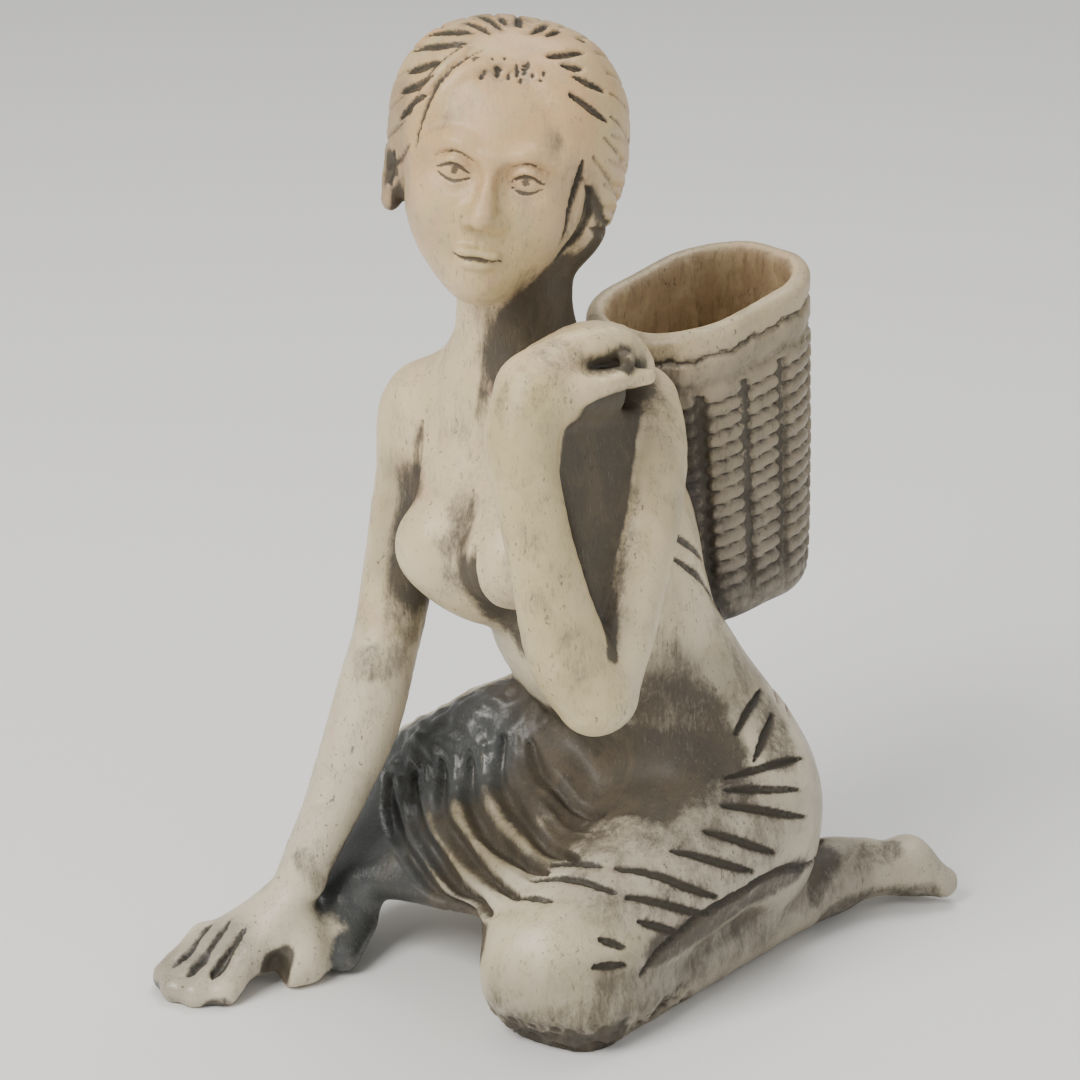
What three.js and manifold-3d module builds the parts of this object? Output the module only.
// Seated tea picker leaning on one hand, with a deep oval basket on the back, cast in one piece.
// The whole casting is one solid: a smooth field is built up from rounded forms, its surface is
// traced on a grid, thinned to a few thousand triangles, and the underside is cut flat.
// Millimetres, +Z up, the face looks along -Y, and z = 0 is the surface that the casting stands on.
import * as THREE from "three";
import { edgeTable, triTable } from "three/addons/objects/MarchingCubes.js";
import { mergeVertices } from "three/addons/utils/BufferGeometryUtils.js";
import Module from "manifold-3d";

// Driving sizes
const FIGURE_HEIGHT = 120; // sets the scale of the whole figure: 116 of it shows, surface to hair
const BASKET_HEIGHT = 40.5; // from the underside to the rim, along its axis
const BASKET_WIDTH = 22; // across the back, outside
const BASKET_DEPTH = 28; // from the back outwards, outside
const BASKET_WALL = 2.6;
const BASKET_FLOOR = 4;
const BASKET_CORNER = 10; // radius of the mouth's four round corners
const BASKET_TAPER = 0.82; // the foot's size as a share of the mouth's
const BASKET_FOOT = 3.5; // radius between the sides and the underside
const RIM_BEAD = 1.7; // radius of the rolled rim
const RIM_RISE = 1.6; // how much higher the rim's outer end is than its middle
const STAKES = 14; // upright columns of weave round the basket
const STAKE_GROOVE = 0.8; // how deep the gaps between the columns are
const STROKE_DEPTH = 0.9; // how deep the drawn folds and locks are cut

// Tracing
const CELL = 0.8; // grid spacing
const TRIANGLES = 9400; // what is kept for the whole casting

const DEGREES = Math.PI / 180;
const SHARE = FIGURE_HEIGHT / 120; // landmarks below are read off a figure 120 mm tall

const { min, max, abs, sqrt, sin, cos, PI } = Math;
const length = (x, y, z = 0) => sqrt(x * x + y * y + z * z);
const clamp = THREE.MathUtils.clamp;
const lerp = THREE.MathUtils.lerp;
const mm = (size) => size * SHARE;
const point = (x, y, z) => new THREE.Vector3(x, y, z).multiplyScalar(SHARE);

// A frame turned by yaw, then roll, then pitch about its own origin.
function frameAt(origin, yaw, pitch = 0, roll = 0) {
  const turn = new THREE.Quaternion().setFromEuler(
    new THREE.Euler(pitch * DEGREES, roll * DEGREES, yaw * DEGREES, "ZYX"),
  );
  const place = (x, y, z) => point(x, y, z).applyQuaternion(turn).add(origin);
  return { origin, turn, place };
}

// Forms. Each has a ball that bounds its solid, and a signed distance that is negative inside.
const form = (centre, reach, at) => ({
  at,
  box: new THREE.Box3().setFromCenterAndSize(centre, new THREE.Vector3().setScalar(2 * reach)),
  near(p, r) {
    return p.distanceTo(centre) < reach + r ? this : null;
  },
});

const ball = (c, r) => form(c, r, (x, y, z) => length(x - c.x, y - c.y, z - c.z) - r);

function egg(c, radii, turn = new THREE.Quaternion()) {
  const [a, b, h] = radii.map(mm);
  const m = new THREE.Matrix4().makeRotationFromQuaternion(turn).elements;
  const least = min(a, b, h);
  return form(c, max(a, b, h), (x, y, z) => {
    const dx = x - c.x;
    const dy = y - c.y;
    const dz = z - c.z;
    const u = dx * m[0] + dy * m[1] + dz * m[2];
    const v = dx * m[4] + dy * m[5] + dz * m[6];
    const w = dx * m[8] + dy * m[9] + dz * m[10];
    const near = length(u / a, v / b, w / h);
    const slope = length(u / (a * a), v / (b * b), w / (h * h));
    return slope > 1e-9 ? (near * (near - 1)) / slope : -least;
  });
}

// A tapered bar from a to b, flattened along the direction `thin` by the share `flat`.
function bone(a, b, ra, rb, flat = 1, thin = null) {
  const d = b.clone().sub(a);
  const span = max(d.lengthSq(), 1e-9);
  const centre = a.clone().add(b).multiplyScalar(0.5);
  const n = thin ? thin.clone().normalize() : new THREE.Vector3();
  const grow = 1 / flat - 1;
  const share = grow ? lerp(1, flat, 0.5) : 1;
  return form(centre, sqrt(span) / 2 + max(ra, rb), (x, y, z) => {
    let px = x - a.x;
    let py = y - a.y;
    let pz = z - a.z;
    const t = clamp((px * d.x + py * d.y + pz * d.z) / span, 0, 1);
    px -= t * d.x;
    py -= t * d.y;
    pz -= t * d.z;
    const across = (px * n.x + py * n.y + pz * n.z) * grow;
    const r = length(px + n.x * across, py + n.y * across, pz + n.z * across);
    return (r - (ra + (rb - ra) * t)) * share;
  });
}

// A limb through stations [x, y, z, radius], rounded by a smooth curve.
function limb(stations, flat = 1, thin = null, steps = 3) {
  const path = new THREE.CatmullRomCurve3(stations.map(([x, y, z]) => point(x, y, z)));
  const radius = new THREE.CatmullRomCurve3(stations.map(([, , , r]) => point(r, 0, 0)));
  const count = (stations.length - 1) * steps;
  const bones = [];
  for (let i = 0; i < count; i++) {
    const [s, t] = [i / count, (i + 1) / count];
    bones.push(
      bone(path.getPoint(s), path.getPoint(t), radius.getPoint(s).x, radius.getPoint(t).x, flat, thin),
    );
  }
  return blend(0.3, ...bones);
}

// A thick three-cornered web of cloth or resin.
function web(a, b, c, thickness) {
  const centre = a.clone().add(b).add(c).divideScalar(3);
  const reach = max(centre.distanceTo(a), centre.distanceTo(b), centre.distanceTo(c));
  const face = new THREE.Triangle(a, b, c);
  const p = new THREE.Vector3();
  const q = new THREE.Vector3();
  return form(centre, reach + thickness / 2, (x, y, z) => {
    face.closestPointToPoint(p.set(x, y, z), q);
    return p.distanceTo(q) - thickness / 2;
  });
}

// Forms joined with a fillet of about `soft`.
function blend(soft, ...parts) {
  const box = parts.reduce((all, part) => all.union(part.box), new THREE.Box3());
  return {
    box,
    at(x, y, z) {
      let a = parts[0].at(x, y, z);
      for (let i = 1; i < parts.length; i++) {
        const b = parts[i].at(x, y, z);
        const h = max(soft - abs(a - b), 0) / soft;
        a = min(a, b) - (h * h * soft) / 4;
      }
      return a;
    },
    near(p, r) {
      const kept = parts.map((part) => part.near(p, r + soft)).filter(Boolean);
      return kept.length > 1 ? blend(soft, ...kept) : (kept[0] ?? null);
    },
  };
}

// `body` less `cutters`, with the edges rounded by about `soft`.
function carve(soft, body, ...cutters) {
  return {
    box: body.box,
    at(x, y, z) {
      let a = body.at(x, y, z);
      for (const cutter of cutters) {
        const b = cutter.at(x, y, z);
        const h = max(soft - abs(a + b), 0) / soft;
        a = max(a, -b) + (h * h * soft) / 4;
      }
      return a;
    },
    near(p, r) {
      const kept = body.near(p, r);
      const cuts = cutters.map((cutter) => cutter.near(p, r + soft)).filter(Boolean);
      return kept && cuts.length ? carve(soft, kept, ...cuts) : kept;
    },
  };
}

// `body` with tapered strokes pressed into its surface.
function incise(body, strokes) {
  return {
    box: body.box,
    at(x, y, z) {
      let deepest = 0;
      for (const s of strokes) deepest = max(deepest, s.at(x, y, z));
      return body.at(x, y, z) + deepest;
    },
    near(p, r) {
      const kept = body.near(p, r);
      const near = strokes.filter((s) => p.distanceTo(s.centre) < s.reach + r);
      return kept && near.length ? incise(kept, near) : kept;
    },
  };
}

// A stroke seen along `look`: how deep it cuts at a place, widest in its middle.
function stroke(a, b, width, look, depth = STROKE_DEPTH, taper = 0.55) {
  const n = look.clone().normalize();
  const flatten = (v) => v.clone().addScaledVector(n, -v.dot(n));
  const d = b.clone().sub(a);
  const run = flatten(d);
  const rise = d.dot(n);
  const span = max(run.lengthSq(), 1e-9);
  const [w, range] = [mm(width), mm(7)];
  return {
    centre: a.clone().add(b).multiplyScalar(0.5),
    reach: d.length() / 2 + range,
    at(x, y, z) {
      const px = x - a.x;
      const py = y - a.y;
      const pz = z - a.z;
      const off = px * n.x + py * n.y + pz * n.z;
      const t = clamp((px * run.x + py * run.y + pz * run.z) / span, 0, 1);
      const away = abs(off - t * rise);
      if (away > range) return 0;
      const side = length(
        px - off * n.x - t * run.x,
        py - off * n.y - t * run.y,
        pz - off * n.z - t * run.z,
      );
      const half = w * (1 - taper + taper * sin(PI * t));
      if (side > half) return 0;
      return depth * (0.5 + 0.5 * cos((PI * side) / half)) * min(1, 3 - (3 * away) / range);
    },
  };
}

// A bent stroke through three or more places.
function bentStroke(places, width, look, depth, steps = 5) {
  const path = new THREE.CatmullRomCurve3(places);
  const pieces = [];
  for (let i = 0; i < steps; i++)
    pieces.push(stroke(path.getPoint(i / steps), path.getPoint((i + 1) / steps), width, look, depth, 0.1));
  return pieces;
}

// Landmarks
const BODY_YAW = -48; // the trunk faces the right hand, the head looks ahead
const head = frameAt(point(-4.5, 3.4, 100.2), -6, -3, 9);
const trunk = frameAt(point(0, 0, 0), BODY_YAW);
const ahead = new THREE.Vector3(0, -1, 0).applyQuaternion(trunk.turn);
const bothSides = (make) => [-1, 1].map(make);

function face() {
  const skull = blend(
    mm(4),
    egg(head.place(0, 1.5, 1), [10.2, 12.2, 12.6], head.turn),
    egg(head.place(0, -2.2, -7.6), [8.5, 8.6, 8], head.turn),
    ball(head.place(0, -7.4, -12.4), mm(3)),
    ...bothSides((s) => egg(head.place(s * 5, -5, -4), [3.8, 4.6, 4.6], head.turn)),
  );
  const brow = bothSides((s) =>
    bone(head.place(s * 1.6, -10.4, 2.4), head.place(s * 6, -8.6, 2.8), mm(1.2), mm(1)),
  );
  const nose = blend(
    mm(1),
    bone(head.place(0, -10.6, 1), head.place(0, -13, -4.7), mm(1.1), mm(1.5)),
    ...bothSides((s) => ball(head.place(s * 1.5, -11.6, -5.2), mm(1.15))),
  );
  const sockets = bothSides((s) => egg(head.place(s * 4, -11.6, 0), [2.9, 1.7, 1.7], head.turn));
  const eyes = bothSides((s) => egg(head.place(s * 4, -8.9, 0), [2.3, 1.7, 1.5], head.turn));
  const lips = blend(
    mm(0.6),
    egg(head.place(0, -10.5, -8.6), [2.7, 1.4, 0.8], head.turn),
    egg(head.place(0, -10.4, -10.2), [2.3, 1.4, 0.95], head.turn),
  );
  const solid = blend(mm(1.8), skull, ...brow, nose);
  return blend(mm(0.5), carve(mm(1.6), solid, ...sockets), ...eyes, lips);
}

// Hair combed back from the hairline in locks, full over the left ear, and knotted low behind.
function hair() {
  const cap = blend(
    mm(3),
    egg(head.place(0.4, 3.4, 1.9), [13.5, 13.8, 13.3], head.turn),
    egg(head.place(9, 3.4, -3.2), [4.8, 7.4, 9.2], head.turn),
    egg(head.place(-8.2, 4.4, 2.8), [4.8, 6.6, 8.2], head.turn),
    ...bothSides((s) => egg(head.place(0.3 + s * 3.9, 2, 5.2), [8.5, 10, 9.3], head.turn)),
    egg(head.place(2.8, 12, -7), [8, 6.4, 6.8], head.turn),
  );
  const window = egg(head.place(-0.4, -13.6, -3), [9.9, 12.4, 17.6], head.turn);
  const crown = head.place(0, -10.6, 11); // where the locks part above the forehead
  const knot = head.place(3, 15, -5); // and where they gather behind
  const axis = knot.clone().sub(crown).normalize();
  const upward = new THREE.Vector3(0, 0, 1).applyQuaternion(head.turn);
  const side = new THREE.Vector3().crossVectors(axis, upward).normalize();
  const lift = new THREE.Vector3().crossVectors(side, axis);
  const locks = [];
  for (let i = 0; i < 17; i++) {
    const angle = lerp(-118, 118, i / 16) * DEGREES;
    const out = side.clone().multiplyScalar(sin(angle)).addScaledVector(lift, cos(angle));
    const from = crown.clone().addScaledVector(out, mm(4.4)).addScaledVector(axis, mm(1));
    const to = crown.clone().addScaledVector(out, mm(11)).addScaledVector(axis, mm(7.5));
    locks.push(stroke(from, to, 1.1, out.clone().addScaledVector(axis, -1)));
  }
  return incise(carve(mm(1), cap, window), locks);
}

function ear() {
  return carve(
    mm(0.6),
    egg(head.place(-11.4, -0.2, -3), [1.9, 2.8, 5], head.turn),
    egg(head.place(-13.1, -1.7, -2.6), [1.4, 1.7, 3.1], head.turn),
  );
}

function torso() {
  const neck = limb([
    [-2.4, 6.6, 70, 7.6],
    [-2.8, 5.4, 77, 6.9],
    [-3, 4.6, 88, 6.6],
  ]);
  const trunkForm = limb(
    [
      [17.8, 7, 25, 14.2],
      [14.8, 7, 31, 13],
      [11.2, 6.8, 37.4, 12.8],
      [7, 6.4, 44.5, 14.8],
      [5.4, 6, 52, 15],
      [4.2, 5.6, 58, 13.8],
    ],
    0.82,
    ahead,
  );
  const hips = blend(
    mm(3),
    egg(point(20, 7.4, 15.6), [15.4, 13.4, 16], trunk.turn),
    bone(point(6, 15, 6.2), point(24, 15.4, 6.2), mm(7.4), mm(7)), // what the figure sits on
  );
  const shoulders = [
    bone(point(-5, 7, 72), point(-12.8, 11.4, 67.6), mm(6.4), mm(5.6)),
    bone(point(-1, 5.6, 72), point(9, -2.6, 71), mm(6), mm(5.6)),
    bone(point(-12, 11.4, 62), point(7, -2, 66), mm(6), mm(6)),
  ];
  const breasts = [
    blend(mm(3), ball(point(-11, 1.4, 53.6), mm(6.1)), ball(point(-7.4, 2.4, 59.6), mm(6))),
    ball(point(-6.6, 2, 50), mm(6)),
    blend(mm(3), ball(point(-2.6, -7, 55), mm(6)), ball(point(-1, -4, 60), mm(5.6))),
  ];
  return blend(mm(4), blend(mm(6), trunkForm, hips, ...shoulders), ...breasts, neck);
}

function rightArm() {
  return limb([
    [-13.2, 12, 66.4, 5.2],
    [-15, 11.4, 58, 4.8],
    [-16.8, 9.6, 48.7, 4.4],
    [-18, 7.8, 42, 4.1],
    [-19.7, 5.6, 35.6, 4.2],
    [-21.3, 4, 30, 4.3],
    [-23.6, 2, 24, 3.8],
    [-26, 0, 18.4, 3.3],
    [-28.6, -1.4, 13, 3],
  ]);
}

// The right hand lies flat, fingers spread a little and pointing away from the body.
function rightHand() {
  const palm = blend(
    mm(2.5),
    bone(point(-29.4, -1.8, 10.6), point(-34.4, -4, 5.6), mm(3.3), mm(4.2), 0.75, point(-0.6, -0.2, 1)),
    bone(point(-31, -3.6, 4.6), point(-37.4, -7, 3.4), mm(4), mm(3.4), 0.8, point(0, 0, 1)),
    bone(point(-33, -1.8, 5.6), point(-39.8, -3.2, 3.8), mm(3.2), mm(2.8), 0.8, point(0, 0, 1)),
  );
  const knuckle = (t) => point(lerp(-41, -35, t), lerp(-2.6, -8.2, t), lerp(4, 4.4, t));
  const tip = (t) =>
    point(lerp(-45.2, -37.8, t) - 1.2 * sin(PI * t), lerp(-7.8, -12, t) - 1.9 * sin(PI * t), 1.5);
  const fingers = [0, 1, 2, 3].map((i) => bone(knuckle(i / 3), tip(i / 3), mm(1.9), mm(1.45)));
  const thumb = limb([
    [-29.8, -2.4, 7.6, 2.6],
    [-28.6, -5.6, 4.4, 2.1],
    [-30.2, -8, 2, 1.6],
  ]);
  const raised = point(0, 0, 1);
  const gaps = [0.5, 1.5, 2.5].map((i) =>
    stroke(knuckle(i / 3).add(raised), tip(i / 3).add(raised), 0.9, point(-0.3, -0.3, 1), 1.3, 0.3),
  );
  const solid = blend(mm(1.2), palm, blend(mm(0.5), ...fingers), thumb);
  const underThumb = egg(point(-31.6, -8.8, 2.6), [1.5, 2, 2.2]);
  return incise(carve(mm(0.8), solid, underThumb), gaps);
}

function leftArm() {
  const upper = limb([
    [10.6, -3.6, 72, 5.6],
    [12.2, -7.2, 68.6, 4.6],
    [12, -11, 62.4, 4.1],
    [10.9, -15, 56.6, 3.8],
    [9.3, -18.6, 50.6, 3.8],
    [6.6, -21.6, 45, 4.6],
  ]);
  const fore = limb([
    [6.2, -22.4, 44.4, 4.8],
    [3.2, -24, 50, 4.7],
    [1.3, -24.9, 57, 4.1],
    [-0.3, -24.5, 64, 3.7],
    [-1.6, -23.5, 70, 3.8],
    [-2, -22, 75, 4.1],
    [-0.8, -20.4, 79.4, 4.2],
  ]);
  const between = web(point(7, -19.8, 48), point(0.6, -19.8, 76), point(11, -8.6, 72), mm(3.2));
  return blend(mm(0.8), upper, fore, between);
}

// The left hand is laid over the shoulder, its fingers curled over the basket's strap.
function leftHand() {
  const palm = blend(
    mm(2),
    egg(point(0.2, -19.6, 79.6), [5, 3.8, 4.6], frameAt(point(0, 0, 0), 20, 0, -20).turn),
    bone(point(0, -19, 78.5), point(6.4, -12.5, 76), mm(4), mm(4.2)),
  );
  const fingers = [];
  for (let i = 0; i < 4; i++) {
    const [y, z] = [i * 2.3, i * -0.5];
    fingers.push(
      limb([
        [0.2, -18.6 + y, 81.6 + z, 2.4],
        [5, -16.4 + y, 83.4 + z, 2.2],
        [8.8, -13.8 + y, 82.6 + z, 2],
        [11.2, -11.4 + y, 79.4 + z, 1.8],
      ]),
    );
  }
  const thumb = limb([
    [1, -21.6, 78.8, 2.4],
    [6.6, -19.4, 79.8, 1.8],
    [12, -15, 78.8, 1.4],
  ]);
  const curled = frameAt(point(0, 0, 0), 30).turn;
  const hollow = egg(point(7.4, -19.2, 82), [3, 2.6, 1.15], curled);
  const knob = ball(point(8.8, -15.4, 81.8), mm(1.2)); // of the strap, seen inside the hand
  return blend(mm(0.4), carve(mm(0.5), blend(mm(0.8), palm, ...fingers, thumb), hollow), knob);
}

function legs() {
  const leftThigh = limb([
    [22, 3, 20, 12],
    [13.4, -7.4, 14.6, 10],
    [2, -18, 8.8, 9.1],
  ]);
  const leftKnee = bone(point(-0.6, -18.4, 5.4), point(5, -21.4, 4.6), mm(5.6), mm(5.4));
  const leftCalf = limb([
    [6.6, -19, 5, 6],
    [19.2, -4.6, 4.6, 5.3],
    [28.4, 6, 4.5, 4.9],
    [36.4, 13.4, 4.4, 4.3],
  ]);
  const leftFoot = blend(
    mm(1.6),
    bone(point(36.4, 13.6, 5.2), point(40.8, 15.4, 5.2), mm(4.3), mm(3.7)),
    bone(point(41.4, 15.8, 4.2), point(46.4, 17, 4.8), mm(3), mm(3.6)),
    bone(point(46.4, 16.8, 4.4), point(51, 15.8, 2.8), mm(3.5), mm(2)),
  );
  const rightThigh = limb([
    [10, 13, 22, 10.6],
    [-1.2, 14, 21.6, 9.8],
    [-7.5, 15.2, 19.2, 8.8],
    [-13.4, 16, 17, 7.3],
    [-17, 16.2, 14.4, 5.8],
  ]);
  const rightShin = limb([
    [-17, 16.2, 14.2, 5.6],
    [-20, 10, 11, 4.8],
    [-23.4, 5, 7.6, 4.2],
    [-26, 0, 3.8, 3.5],
  ]);
  const rightFoot = blend(
    mm(1),
    bone(point(-26, 0, 3.4), point(-28.4, -5.6, 2.2), mm(3.5), mm(2.7)),
    bone(point(-22.4, 1, 4.6), point(-24, -3.6, 2.4), mm(2.4), mm(2.2)),
  );
  const heelHollow = egg(point(42.6, 12.8, 9), [3.2, 1.7, 1.5], frameAt(point(0, 0, 0), 12, 0, 12).turn);
  return blend(
    mm(1.4),
    blend(mm(5), blend(mm(2), leftThigh, leftKnee), rightThigh),
    carve(mm(1), blend(mm(2), leftCalf, leftFoot), heelHollow),
    blend(mm(2), rightShin, rightFoot),
  );
}

// The cloth stretched over the lap, from knee to knee.
function lap() {
  const [knee, navel] = [point(-17, 14.4, 16.8), point(4, 5, 25)];
  const [farKnee, ankle] = [point(-3, -13.6, 13.4), point(-21.4, 2.4, 9.6)];
  const middle = point(-8.6, 0.6, 17);
  const gathers = [
    bone(point(-13.4, 12.4, 23.4), point(-9.4, 11.4, 25.4), mm(2.2), mm(2)),
    bone(point(-8, 11.4, 27), point(-5, 11, 28.2), mm(2.2), mm(2)),
    bone(point(-3.4, 10.4, 29.6), point(-1, 9.6, 31.4), mm(2), mm(1.8)),
  ];
  return blend(
    mm(3),
    web(knee, navel, middle, mm(4.4)),
    web(navel, farKnee, middle, mm(4.4)),
    web(navel, farKnee, point(13, -2, 19), mm(5)),
    web(farKnee, ankle, middle, mm(3.6)),
    web(ankle, knee, middle, mm(4.4)),
    ...gathers,
  );
}

// Folds pulled across the lap, then over the left thigh to the hip, and the skirt's waistband.
function folds() {
  const cuts = [];
  const view = new THREE.Vector3(0, -0.94, 0.34);
  const between = (a, b, t) => a.clone().lerp(b, t);
  for (let i = 0; i < 6; i++) {
    const t = i / 5;
    const from = between(point(-19.2, 10.2, 17.9), point(-1.3, 4.6, 26.4), t);
    const by = between(point(-16.6, -0.4, 14.4), point(-0.6, -0.4, 23), t);
    const to = between(point(-7, -17.4, 12.6), point(7, -9.6, 22.4), t);
    cuts.push(...bentStroke([from, by, to], 1.15, view));
  }
  const crease = [
    point(35.2, 14.2, 9.4), point(28.8, -6.2, 14.9), point(23.7, -11.4, 14.3),
    point(18.8, -15.5, 13.5), point(14, -20, 11.1), point(11.6, -21.8, 8.8),
  ];
  cuts.push(...bentStroke(crease, 1.2, new THREE.Vector3(0.3, -0.85, 0.4), 1.2, 10)); // thigh on calf
  const inner = new THREE.CatmullRomCurve3([
    point(22, -7.4, 27.4), point(20.6, -10.4, 24), point(12.6, -16, 20.4), point(6, -24.8, 12.4),
  ]);
  const outer = new THREE.CatmullRomCurve3([
    point(31.6, -0.8, 27), point(30.6, -5, 19.8), point(21.6, -13.4, 14.4), point(10, -23, 11),
  ]);
  const side = new THREE.Vector3(0.4, -0.85, 0.35);
  for (let i = 0; i < 9; i++)
    cuts.push(stroke(inner.getPoint(i / 8), outer.getPoint(i / 8), 1, side));
  const waist = new THREE.Vector3(0.6, -0.7, 0.4);
  cuts.push(stroke(point(26.6, 2, 35), point(22.6, -5, 31), 0.9, waist));
  cuts.push(stroke(point(28.2, 1, 32.4), point(25.4, -5, 29.2), 0.9, waist));
  return cuts;
}

// The basket stands on the back, leaning forward with it, its mouth level with the shoulders.
// u runs across the back, v outwards and w up, all from the middle of the underside.
function basketFrame() {
  const sit = point(13.2, 12.4, 39.2);
  const up = new THREE.Vector3(-0.07, -0.065, 0.995).normalize();
  const across = new THREE.Vector3(1, 0, 0).applyQuaternion(trunk.turn);
  across.addScaledVector(up, -across.dot(up)).normalize();
  const out = new THREE.Vector3().crossVectors(up, across);
  const foot = sit.clone().addScaledVector(out, (BASKET_DEPTH * BASKET_TAPER) / 2);
  const wall = (u, v, w) => {
    const grow = lerp(BASKET_TAPER, 1, sqrt(clamp(w / BASKET_HEIGHT, 0, 1)));
    const corner = BASKET_CORNER * grow;
    const a = abs(u) - (BASKET_WIDTH / 2) * grow + corner;
    const b = abs(v) - (BASKET_DEPTH / 2) * grow + corner;
    return length(max(a, 0), max(b, 0)) + min(max(a, b), 0) - corner;
  };
  const rim = (v) => BASKET_HEIGHT - RIM_BEAD + (RIM_RISE * v) / (BASKET_DEPTH / 2);
  const middle = foot.clone().addScaledVector(up, BASKET_HEIGHT / 2);
  const reach = length(BASKET_WIDTH, BASKET_DEPTH, BASKET_HEIGHT + 2 * RIM_RISE) / 2 + RIM_BEAD;
  return { foot, up, across, out, wall, rim, middle, reach };
}

// A form given in the basket's own directions.
function basketForm(at) {
  const { foot, up, across, out, middle, reach } = basketFrame();
  return form(middle, reach, (x, y, z) => {
    const dx = x - foot.x;
    const dy = y - foot.y;
    const dz = z - foot.z;
    const u = dx * across.x + dy * across.y + dz * across.z;
    const v = dx * out.x + dy * out.y + dz * out.z;
    const w = dx * up.x + dy * up.y + dz * up.z;
    return at(u, v, w);
  });
}

function basket() {
  const { wall, rim } = basketFrame();
  return basketForm((u, v, w) => {
    const side = wall(u, v, w);
    const top = rim(v);
    const turn = Math.atan2(u / BASKET_WIDTH, v / BASKET_DEPTH);
    const rib = 0.5 + 0.5 * cos(turn * STAKES);
    const woven = w > BASKET_FOOT / 2 && w < top - 3 * RIM_BEAD ? STAKE_GROOVE * rib ** 4 : 0;
    const [a, b] = [side + woven + BASKET_FOOT, BASKET_FOOT - w];
    const below = length(max(a, 0), max(b, 0)) + min(max(a, b), 0) - BASKET_FOOT;
    const body = max(below, w - top);
    const bead = length(side + BASKET_WALL / 2, w - top) - RIM_BEAD;
    return min(body, bead);
  });
}

// The basket's inside, open above the rim.
function hollow() {
  const { wall } = basketFrame();
  return basketForm((u, v, w) => max(wall(u, v, w) + BASKET_WALL, BASKET_FLOOR - w));
}

// Every form of the casting, joined.
function casting() {
  const bust = blend(mm(1.2), face(), hair(), ear());
  const body = blend(mm(2.4), torso(), blend(mm(2), rightArm(), rightHand()), bust);
  const lower = incise(blend(mm(3), legs(), lap()), folds());
  const trunkAndLegs = blend(mm(2), body, lower);
  const figure = blend(mm(1.4), trunkAndLegs, blend(mm(0.9), leftArm(), leftHand()));
  return carve(0.3, blend(1, figure, basket()), hollow());
}

// Signed distances at grid points, worked out only in the blocks that the surface crosses.
function sample(cast, low, counts) {
  const [nx, ny, nz] = counts;
  const values = new Float32Array(nx * ny * nz).fill(1);
  const block = 8;
  const half = (block * CELL * sqrt(3)) / 2;
  const centre = new THREE.Vector3();
  for (let k = 0; k < nz; k += block)
    for (let j = 0; j < ny; j += block)
      for (let i = 0; i < nx; i += block) {
        centre.set(i, j, k).addScalar(block / 2).multiplyScalar(CELL).add(low);
        const local = cast.near(centre, half + 2 * CELL);
        const there = local ? local.at(centre.x, centre.y, centre.z) : 1;
        const crossed = local && abs(there) < half * 1.7 + 1;
        for (let c = k; c < min(k + block, nz); c++)
          for (let b = j; b < min(j + block, ny); b++)
            for (let a = i; a < min(i + block, nx); a++)
              values[a + nx * (b + ny * c)] = crossed
                ? local.at(low.x + a * CELL, low.y + b * CELL, low.z + c * CELL)
                : there;
      }
  return values;
}

// Traces the zero surface with marching cubes, each crossing used once, as [positions, triangles].
function trace(cast) {
  const { min: low, max: high } = cast.box.clone().expandByScalar(2 * CELL);
  const counts = ["x", "y", "z"].map((axis) => Math.ceil((high[axis] - low[axis]) / CELL) + 1);
  const [nx, ny, nz] = counts;
  const values = sample(cast, low, counts);
  const steps = [1, nx, nx * ny];
  const corners = [0, 1, 1 + nx, nx];
  corners.push(...corners.map((c) => c + nx * ny));
  // The corner where each of a cell's twelve edges starts, and the axis that it runs along.
  const edges = [[0, 0], [1, 1], [3, 0], [0, 1], [4, 0], [5, 1], [7, 0], [4, 1]];
  edges.push(...[0, 1, 2, 3].map((corner) => [corner, 2]));
  const positions = [];
  const triangles = [];
  const used = new Int32Array(3 * nx * ny * nz).fill(-1);
  const crossing = (cell, edge) => {
    const [corner, axis] = edges[edge];
    const start = cell + corners[corner];
    const key = start * 3 + axis;
    if (used[key] >= 0) return used[key];
    const a = values[start];
    const b = values[start + steps[axis]];
    const place = [start % nx, Math.floor(start / nx) % ny, Math.floor(start / (nx * ny))];
    place[axis] += clamp(a / (a - b), 0.04, 0.96);
    used[key] = positions.length / 3;
    positions.push(low.x + place[0] * CELL, low.y + place[1] * CELL, low.z + place[2] * CELL);
    return used[key];
  };
  for (let k = 0; k < nz - 1; k++)
    for (let j = 0; j < ny - 1; j++)
      for (let i = 0; i < nx - 1; i++) {
        const cell = i + nx * (j + ny * k);
        let code = 0;
        for (let c = 0; c < 8; c++) if (values[cell + corners[c]] < 0) code |= 1 << c;
        if (edgeTable[code] === 0) continue;
        for (let t = code * 16; triTable[t] !== -1; t += 3)
          for (const c of [2, 1, 0]) triangles.push(crossing(cell, triTable[t + c]));
      }
  return [positions, triangles];
}

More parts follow.
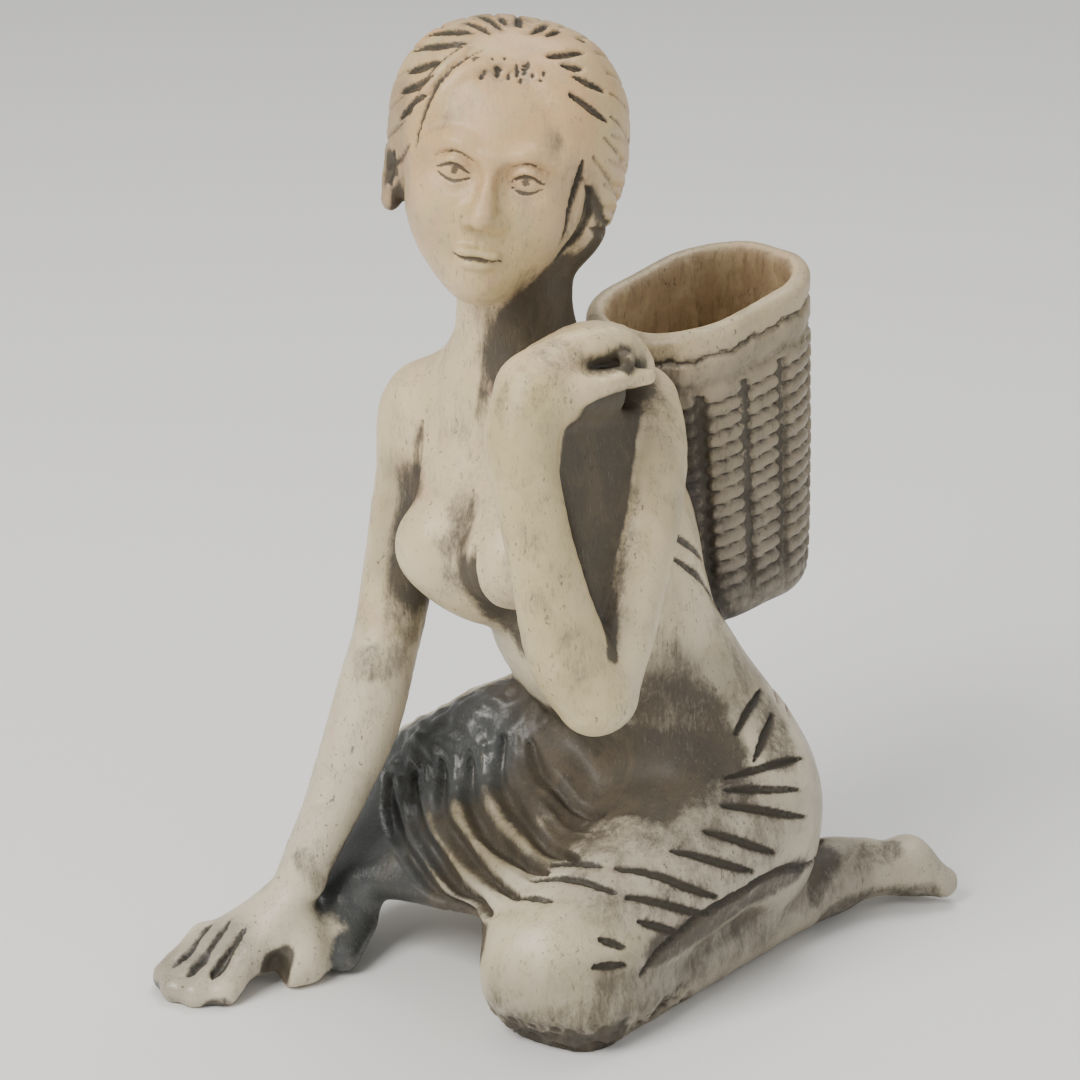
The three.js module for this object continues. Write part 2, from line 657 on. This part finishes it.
// Thins a closed mesh to `target` triangles by collapsing the edges that change its shape least.
// Each corner carries the squared distances to the planes around it, as ten sums.
function thin(positions, triangles, target) {
  const count = positions.length / 3;
  const total = triangles.length / 3;
  const sums = new Float64Array(count * 10);
  const around = Array.from({ length: count }, () => []);
  const gone = new Uint8Array(total);
  const normal = (ax, ay, az, bx, by, bz, out) => {
    out[0] = ay * bz - az * by;
    out[1] = az * bx - ax * bz;
    out[2] = ax * by - ay * bx;
    return length(out[0], out[1], out[2]);
  };
  const [n, m] = [[0, 0, 0], [0, 0, 0]];
  const p = positions;
  const sized = (i, j, k, out) => {
    const [a, b, c] = [3 * i, 3 * j, 3 * k];
    const [bx, by, bz] = [p[b] - p[a], p[b + 1] - p[a + 1], p[b + 2] - p[a + 2]];
    return normal(bx, by, bz, p[c] - p[a], p[c + 1] - p[a + 1], p[c + 2] - p[a + 2], out);
  };
  for (let t = 0; t < total; t++) {
    const tri = triangles.slice(3 * t, 3 * t + 3);
    for (const i of tri) around[i].push(t);
    const size = sized(...tri, n);
    if (size < 1e-12) continue;
    const [a, b, c] = n.map((v) => v / size);
    const d = -(a * p[3 * tri[0]] + b * p[3 * tri[0] + 1] + c * p[3 * tri[0] + 2]);
    const terms = [a * a, a * b, a * c, a * d, b * b, b * c, b * d, c * c, c * d, d * d];
    for (const i of tri) for (let k = 0; k < 10; k++) sums[10 * i + k] += terms[k] * size;
  }

  const q = new Float64Array(10);
  const best = [0, 0, 0];
  const cost = (x, y, z) =>
    x * (q[0] * x + 2 * (q[1] * y + q[2] * z + q[3])) +
    y * (q[4] * y + 2 * (q[5] * z + q[6])) +
    z * (q[7] * z + 2 * q[8]) + q[9];
  // The cost of drawing corners a and b together, with the place left in `best`.
  const plan = (a, b) => {
    for (let k = 0; k < 10; k++) q[k] = sums[10 * a + k] + sums[10 * b + k];
    const xx = q[4] * q[7] - q[5] * q[5];
    const xy = q[2] * q[5] - q[1] * q[7];
    const xz = q[1] * q[5] - q[2] * q[4];
    const det = q[0] * xx + q[1] * xy + q[2] * xz;
    const ends = [3 * a, 3 * b].map((i) => [p[i], p[i + 1], p[i + 2]]);
    const away = length(...ends[0].map((v, i) => v - ends[1][i]));
    const middle = ends[0].map((v, i) => (v + ends[1][i]) / 2);
    const places = [...ends, middle];
    if (abs(det) > 1e-3 * ((q[0] + q[4] + q[7]) / 3) ** 3) {
      const yy = q[0] * q[7] - q[2] * q[2];
      const yz = q[1] * q[2] - q[0] * q[5];
      const zz = q[0] * q[4] - q[1] * q[1];
      const x = -(xx * q[3] + xy * q[6] + xz * q[8]) / det;
      const y = -(xy * q[3] + yy * q[6] + yz * q[8]) / det;
      const z = -(xz * q[3] + yz * q[6] + zz * q[8]) / det;
      if (length(x - middle[0], y - middle[1], z - middle[2]) < 2 * away) places.push([x, y, z]);
    }
    let least = Infinity;
    for (const [x, y, z] of places) {
      const e = cost(x, y, z);
      if (e >= least) continue;
      least = e;
      [best[0], best[1], best[2]] = [x, y, z];
    }
    return max(least, 0) + 1e-5 * away * away;
  };

  const marked = new Int32Array(count);
  let mark = 0;
  const shared = (a, b) => {
    const [first, second] = [mark + 1, mark + 2];
    mark += 2;
    for (const t of around[a]) for (let c = 0; c < 3; c++) marked[triangles[3 * t + c]] = first;
    let common = 0;
    for (const t of around[b])
      for (let c = 0; c < 3; c++) {
        const i = triangles[3 * t + c];
        if (marked[i] === first && i !== a && i !== b) common++;
        marked[i] = second;
      }
    return common;
  };
  const turnsOver = (i, other) => {
    const old = [p[3 * i], p[3 * i + 1], p[3 * i + 2]];
    for (const t of around[i]) {
      const tri = [triangles[3 * t], triangles[3 * t + 1], triangles[3 * t + 2]];
      if (tri.includes(other)) continue;
      const before = sized(...tri, n);
      [p[3 * i], p[3 * i + 1], p[3 * i + 2]] = best;
      const after = sized(...tri, m);
      [p[3 * i], p[3 * i + 1], p[3 * i + 2]] = old;
      const along = n[0] * m[0] + n[1] * m[1] + n[2] * m[2];
      if (after < 1e-4 || along < 0.25 * before * after) return true;
    }
    return false;
  };

  const resting = new Uint8Array(count);
  let left = total;
  const collapse = (a, b) => {
    for (let k = 0; k < 10; k++) sums[10 * a + k] += sums[10 * b + k];
    [p[3 * a], p[3 * a + 1], p[3 * a + 2]] = best;
    for (const t of around[b]) {
      const at = 3 * t;
      const tri = triangles.slice(at, at + 3);
      if (tri.includes(a)) {
        gone[t] = 1;
        left--;
        for (const i of tri) if (i !== b) around[i] = around[i].filter((s) => s !== t);
      } else {
        triangles[at + tri.indexOf(b)] = a;
        around[a].push(t);
      }
    }
    around[b] = [];
    for (const t of around[a]) for (let c = 0; c < 3; c++) resting[triangles[3 * t + c]] = 1;
  };
  for (let limit = 1e-5; left > target; limit *= 1.6) {
    resting.fill(0);
    for (let t = 0; t < total && left > target; t++)
      for (let c = 0; c < 3 && !gone[t]; c++) {
        const a = triangles[3 * t + c];
        const b = triangles[3 * t + ((c + 1) % 3)];
        if (a > b || resting[a] || resting[b] || plan(a, b) > limit) continue;
        if (shared(a, b) === 2 && !turnsOver(a, b) && !turnsOver(b, a)) collapse(a, b);
      }
  }
  return triangles.filter((_, i) => !gone[Math.floor(i / 3)]);
}

const wasm = await Module();
wasm.setup();

// A three.js geometry as a closed solid for cutting.
function solidOf(geometry) {
  const bare = geometry.clone().deleteAttribute("normal").deleteAttribute("uv");
  const merged = mergeVertices(bare, 1e-4);
  return new wasm.Manifold(
    new wasm.Mesh({
      numProp: 3,
      vertProperties: new Float32Array(merged.attributes.position.array),
      triVerts: new Uint32Array(merged.index.array),
    }),
  );
}

const [positions, traced] = trace(casting());
const sculpted = new THREE.BufferGeometry().setIndex(thin(positions, traced, TRIANGLES));
sculpted.setAttribute("position", new THREE.BufferAttribute(new Float32Array(positions), 3));
sculpted.computeBoundingBox();
const size = sculpted.boundingBox.getSize(new THREE.Vector3());
const middle = sculpted.boundingBox.getCenter(new THREE.Vector3());
const below = new THREE.BoxGeometry(2 * size.x, 2 * size.y, size.z);
below.translate(middle.x, middle.y, -size.z / 2);
const parts = solidOf(sculpted).subtract(solidOf(below)).decompose();
const cut = parts.sort((a, b) => b.volume() - a.volume())[0].getMesh();
const figure = new THREE.Mesh(
  new THREE.BufferGeometry()
    .setAttribute("position", new THREE.BufferAttribute(cut.vertProperties, 3))
    .setIndex(new THREE.BufferAttribute(cut.triVerts, 1))
    .translate(-middle.x, -middle.y, 0),
  new THREE.MeshStandardMaterial({ color: 0xc9bda6, roughness: 0.45, metalness: 0 }),
);
figure.name = "tea_picker";

const group = new THREE.Group();
group.add(figure);
export default group;
